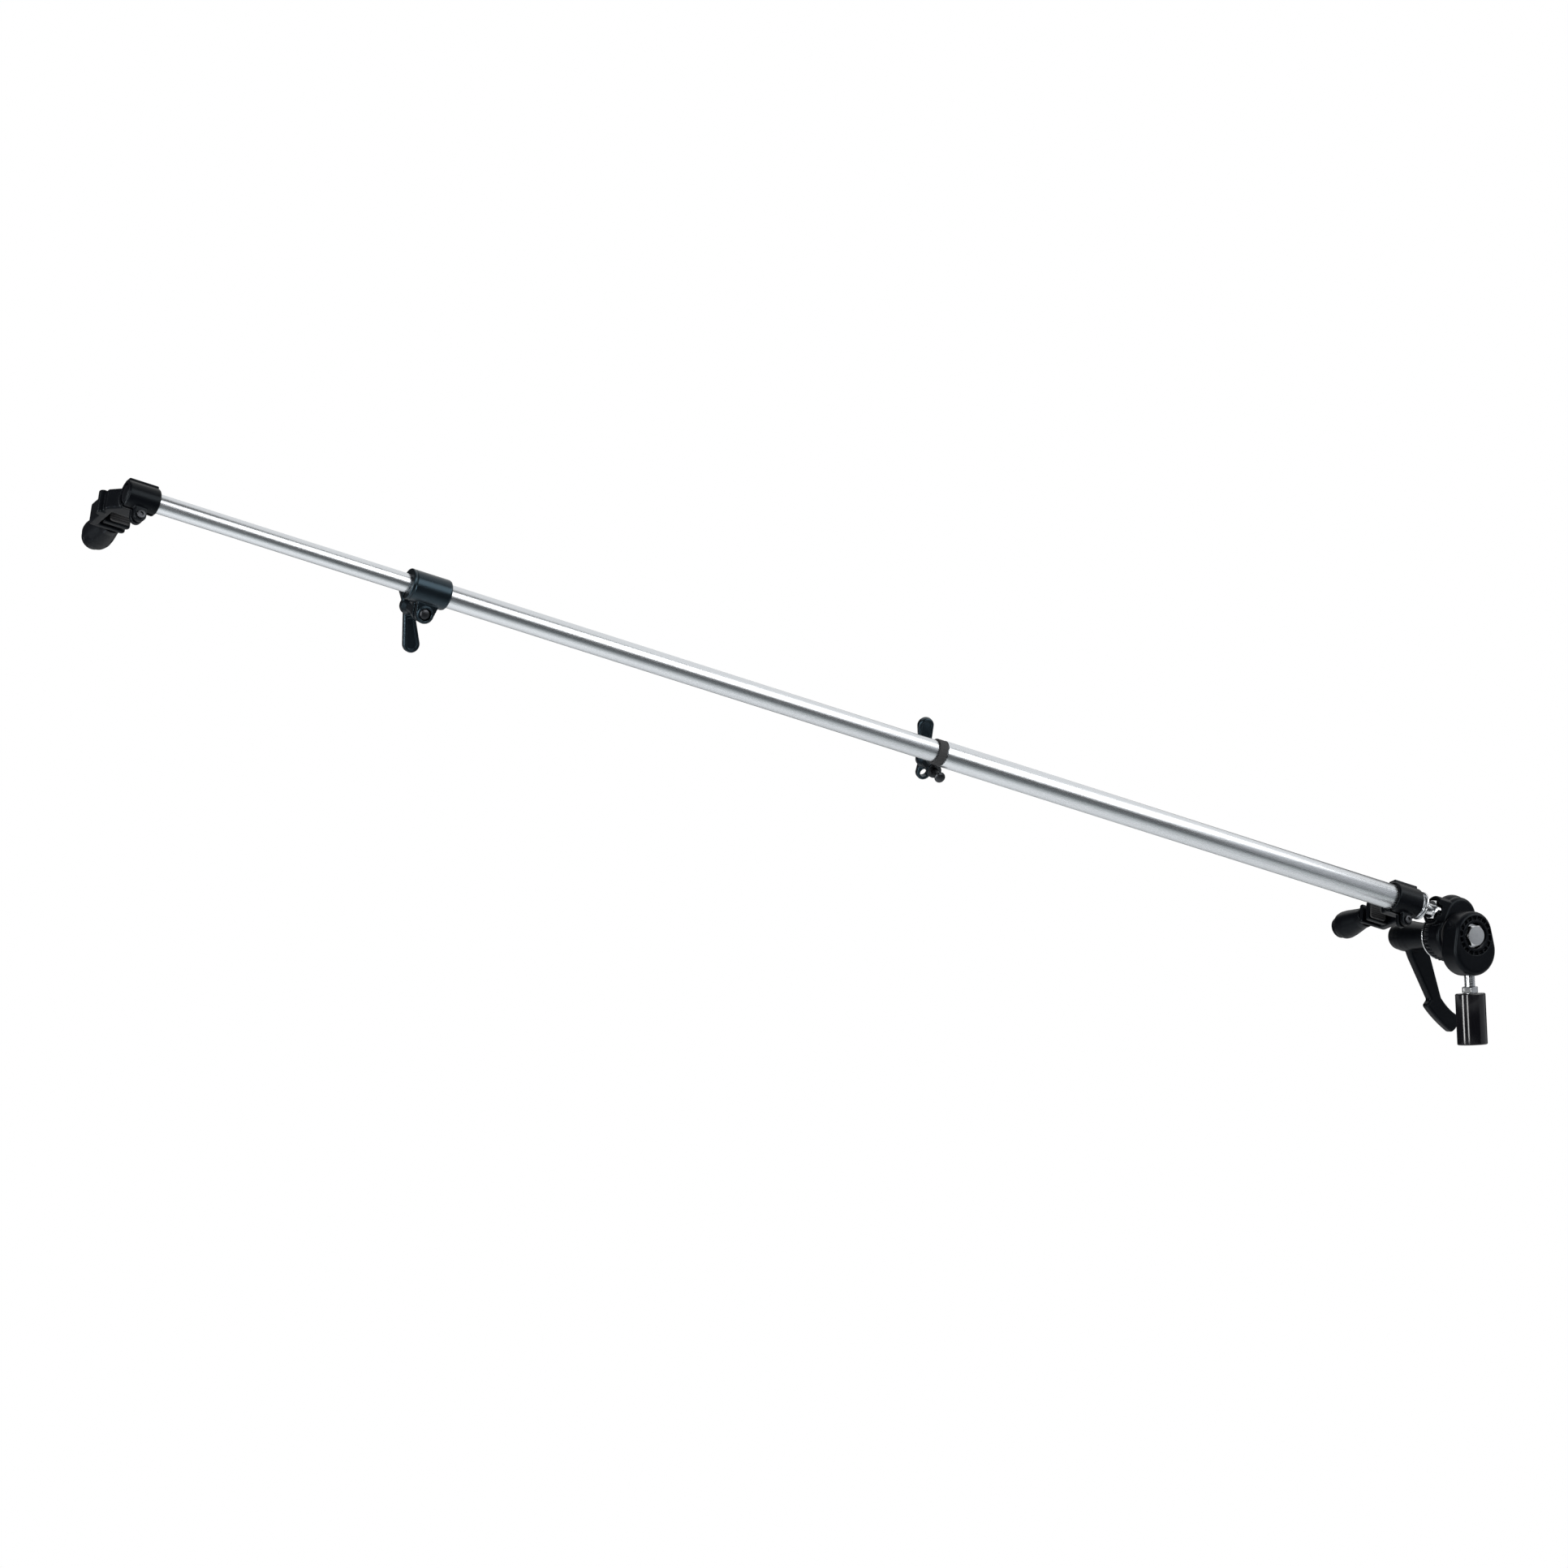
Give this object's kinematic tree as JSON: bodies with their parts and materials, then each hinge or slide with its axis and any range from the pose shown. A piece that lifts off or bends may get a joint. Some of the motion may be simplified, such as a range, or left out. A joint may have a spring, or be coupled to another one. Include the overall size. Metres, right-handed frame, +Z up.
{
  "type": "reflector holder arm",
  "caption": "Telescopic tube arm with a tilting stand head, clamp collars and a rim gripper at each end, for holding a round reflector disc.",
  "frame": {"origin": "centre of the stand socket's mouth", "axes": "+Z up along the socket, +Y along the tilt axis towards the clamp lever, the arm rises towards -X"},
  "size_m": [1.274, 0.1253, 0.4967],
  "materials": {
    "black_moulding": "satin black glass-filled nylon",
    "black_gloss": "gloss black",
    "black_rubber": "matt black",
    "chrome": "bright plated",
    "zinc_steel": "black zinc plated",
    "satin_aluminium": "satin anodised silver"
  },
  "bodies": {
    "stand_fitting": {"stand_socket": "black_gloss", "socket_set_screw": "zinc_steel", "head_stud": "chrome", "stud_nut": "chrome", "tilt_base": "black_moulding", "friction_disc": "black_rubber", "bolt_washer": "chrome", "pivot_bolt": "chrome"},
    "clamp_insert": {"lever_washer": "chrome", "lever_insert": "zinc_steel", "lever_cap_screw": "zinc_steel", "lever_spring": "zinc_steel"},
    "clamp_lever": {"ratchet_lever": "black_moulding"},
    "outer_section": {"tilt_knuckle": "black_moulding", "arm_stud": "chrome", "arm_stud_nut": "chrome", "stud_flange": "chrome", "outer_tube_plug": "satin_aluminium", "outer_tube": "satin_aluminium", "root_collar": "black_moulding", "root_collar_bush": "black_rubber", "root_collar_bolt": "zinc_steel", "root_collar_washer": "zinc_steel"},
    "root_knob": {"root_wing_knob": "black_moulding"},
    "middle_section": {"middle_tube": "satin_aluminium", "middle_tube_glide": "black_moulding", "tip_collar": "black_moulding", "tip_collar_bush": "black_rubber", "tip_collar_bolt": "zinc_steel", "tip_collar_washer": "zinc_steel"},
    "tip_knob": {"tip_wing_knob": "black_moulding"},
    "inner_section": {"inner_tube": "satin_aluminium", "inner_tube_glide": "black_moulding", "inner_tube_cap": "black_moulding"},
    "head_gripper": {"head_grip_body": "black_moulding", "head_grip_screw": "zinc_steel", "head_fixed_pad": "black_rubber"},
    "head_gripper_jaw": {"head_jaw": "black_moulding", "head_jaw_pad": "black_rubber", "head_jaw_rod": "zinc_steel"},
    "head_gripper_knob": {"head_grip_knob": "black_moulding"},
    "tip_gripper": {"tip_grip_body": "black_moulding", "tip_grip_screw": "zinc_steel", "tip_fixed_pad": "black_rubber"},
    "tip_gripper_jaw": {"tip_jaw": "black_moulding", "tip_jaw_pad": "black_rubber", "tip_jaw_rod": "zinc_steel"},
    "tip_gripper_knob": {"tip_grip_knob": "black_moulding"}
  },
  "joints": [
    {"name": "arm_tilt", "type": "hinge", "parent": "stand_fitting", "child": "outer_section", "pos_m": [0, 0.023, 0.0955], "axis": [0, 1, 0], "range_deg": [-67, 73]},
    {"name": "lever_turn", "type": "hinge", "parent": "stand_fitting", "child": "clamp_insert", "pos_m": [0, 0.08, 0.0955], "axis": [0, 1, 0], "range_deg": [-110, 20]},
    {"name": "lever_lift", "type": "slide", "parent": "clamp_insert", "child": "clamp_lever", "axis": [0, 1, 0], "range_m": [0, 0.005], "stiffness_N_per_m": 300},
    {"name": "root_wing_turn", "type": "hinge", "parent": "outer_section", "child": "root_knob", "pos_m": [-0.51384, 0.03173, 0.2532], "axis": [-0.1373, -0.8829, -0.449], "range_deg": [-30, 400]},
    {"name": "middle_slide", "type": "slide", "parent": "outer_section", "child": "middle_section", "axis": [-0.9563, 0, 0.2924], "range_m": [-0.388, 0.018]},
    {"name": "tip_wing_turn", "type": "hinge", "parent": "middle_section", "child": "tip_knob", "pos_m": [-0.97428, 0.02781, 0.39236], "axis": [-0.0757, -0.9659, -0.2475], "range_deg": [-30, 400]},
    {"name": "inner_slide", "type": "slide", "parent": "middle_section", "child": "inner_section", "axis": [-0.9563, 0, 0.2924], "range_m": [-0.208, 0.2]},
    {"name": "head_swivel", "type": "hinge", "parent": "outer_section", "child": "head_gripper", "pos_m": [-0.04954, 0.023, 0.12842], "axis": [-0.9563, 0, 0.2924], "range_deg": [-165, 15]},
    {"name": "head_knob_turn", "type": "hinge", "parent": "head_gripper", "child": "head_gripper_knob", "pos_m": [-0.05514, 0.09345, 0.11012], "axis": [-0.0767, 0.965, -0.2507], "range_deg": [-630, 1620]},
    {"name": "head_jaw_slide", "type": "slide", "parent": "head_gripper", "child": "head_gripper_jaw", "axis": [0.0767, -0.965, 0.2507], "range_m": [-0.0036, 0.0092]},
    {"name": "tip_swivel", "type": "hinge", "parent": "inner_section", "child": "tip_gripper", "pos_m": [-1.20284, 0.023, 0.48102], "axis": [-0.9563, 0, 0.2924], "continuous": true},
    {"name": "tip_knob_turn", "type": "hinge", "parent": "tip_gripper", "child": "tip_gripper_knob", "pos_m": [-1.20844, 0.09345, 0.46272], "axis": [-0.0767, 0.965, -0.2507], "range_deg": [-630, 1620]},
    {"name": "tip_jaw_slide", "type": "slide", "parent": "tip_gripper", "child": "tip_gripper_jaw", "axis": [0.0767, -0.965, 0.2507], "range_m": [-0.0036, 0.0092]}
  ],
  "couplings": [
    {"joint": "head_jaw_slide", "follows": "head_knob_turn", "m_per_rad": 0.00031831},
    {"joint": "tip_jaw_slide", "follows": "tip_knob_turn", "m_per_rad": 0.00031831}
  ]
}
